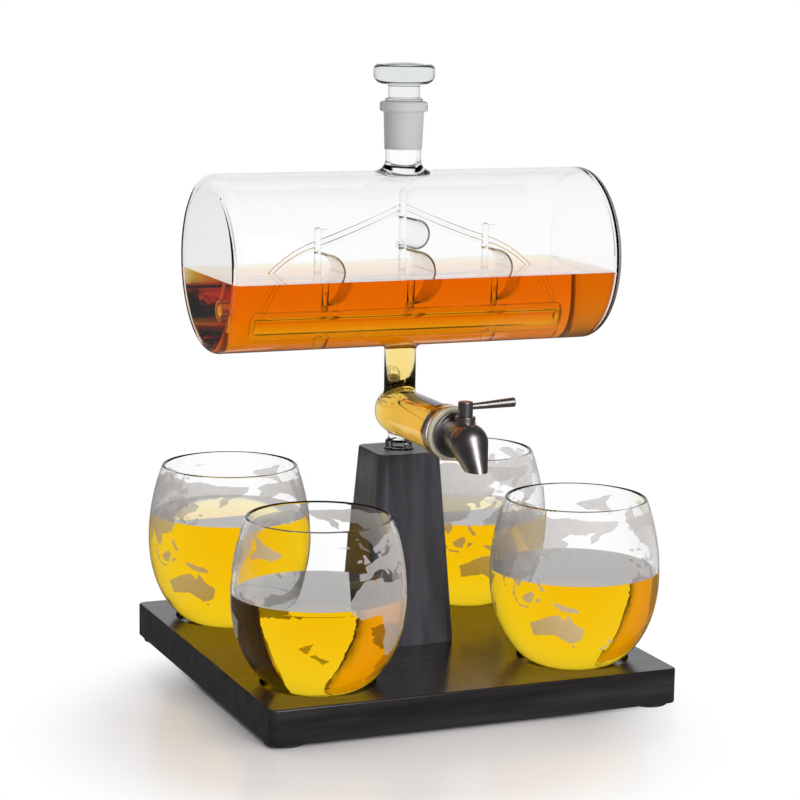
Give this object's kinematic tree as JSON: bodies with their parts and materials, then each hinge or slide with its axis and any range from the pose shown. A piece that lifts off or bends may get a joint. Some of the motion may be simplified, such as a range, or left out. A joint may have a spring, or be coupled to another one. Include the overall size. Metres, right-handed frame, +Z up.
{
  "type": "barrel decanter drink dispenser",
  "caption": "Glass barrel decanter with a glass ship inside and a lever tap, held on a tapered post over a square dark wooden tray with globe tumblers in its recesses.",
  "frame": {"origin": "on the floor, under the middle of the tray", "axes": "+Z up, +X along the barrel, -Y to the front, where the tap points"},
  "size_m": [0.2282, 0.2244, 0.3217],
  "materials": {
    "black_wood": "ebonised, satin lacquer",
    "foot_rubber": "matte",
    "screw_steel": "zinc plated",
    "clear_pad": "clear, soft",
    "tumbler_glass": "clear, with a frosted map",
    "decanter_glass": "clear, with a ground joint",
    "stopper_glass": "clear, with a ground plug",
    "ship_glass": "clear",
    "seal_silicone": "translucent cream",
    "bung_rubber": "matte",
    "inner_steel": "plain",
    "tap_steel": "polished steel",
    "ring_rubber": "matte"
  },
  "bodies": {
    "stand": {"tray": "black_wood", "post": "black_wood", "post_screws": "screw_steel", "foot_front_left": "foot_rubber", "foot_front_right": "foot_rubber", "foot_back_left": "foot_rubber", "foot_back_right": "foot_rubber"},
    "pad": {"post_pad": "clear_pad"},
    "decanter": {"barrel": "decanter_glass", "neck": "decanter_glass", "stem": "decanter_glass", "drain_arm": "decanter_glass", "ship_hull": "ship_glass", "ship_legs": "ship_glass", "ship_fore_mast": "ship_glass", "ship_main_mast": "ship_glass", "ship_mizzen_mast": "ship_glass", "ship_sails": "ship_glass", "ship_rigging": "ship_glass", "front_seal": "seal_silicone", "bung": "bung_rubber", "shank_washer": "inner_steel", "shank_nut": "inner_steel", "tap_body": "tap_steel", "bonnet": "tap_steel"},
    "stopper": {"stopper": "stopper_glass"},
    "lever": {"valve_plug": "inner_steel", "valve_rings": "ring_rubber", "lever_rod": "tap_steel", "set_screw": "inner_steel", "lever_hub": "tap_steel"},
    "glass_front_left": {"glass_front_left": "tumbler_glass"},
    "glass_front_right": {"glass_front_right": "tumbler_glass"},
    "glass_back_left": {"glass_back_left": "tumbler_glass"},
    "glass_back_right": {"glass_back_right": "tumbler_glass"}
  },
  "joints": [
    {"name": "decanter_turn", "type": "hinge", "parent": "stand", "child": "pad", "pos_m": [0, 0, 0.1205], "axis": [0, 0, 1], "continuous": true},
    {"name": "decanter_lift", "type": "slide", "parent": "pad", "child": "decanter", "axis": [0, 0, 1], "range_m": [0, 0.05]},
    {"name": "stopper_lift", "type": "slide", "parent": "decanter", "child": "stopper", "axis": [0, 0, 1], "range_m": [0, 0.045]},
    {"name": "lever_turn", "type": "hinge", "parent": "decanter", "child": "lever", "pos_m": [0, -0.0845, 0.1405], "axis": [0, 0, -1], "range_deg": [0, 90]},
    {"name": "glass_front_left_lift", "type": "slide", "parent": "stand", "child": "glass_front_left", "axis": [0, 0, 1], "range_m": [0, 0.06]},
    {"name": "glass_front_right_lift", "type": "slide", "parent": "stand", "child": "glass_front_right", "axis": [0, 0, 1], "range_m": [0, 0.06]},
    {"name": "glass_back_left_lift", "type": "slide", "parent": "stand", "child": "glass_back_left", "axis": [0, 0, 1], "range_m": [0, 0.06]},
    {"name": "glass_back_right_lift", "type": "slide", "parent": "stand", "child": "glass_back_right", "axis": [0, 0, 1], "range_m": [0, 0.06]}
  ]
}
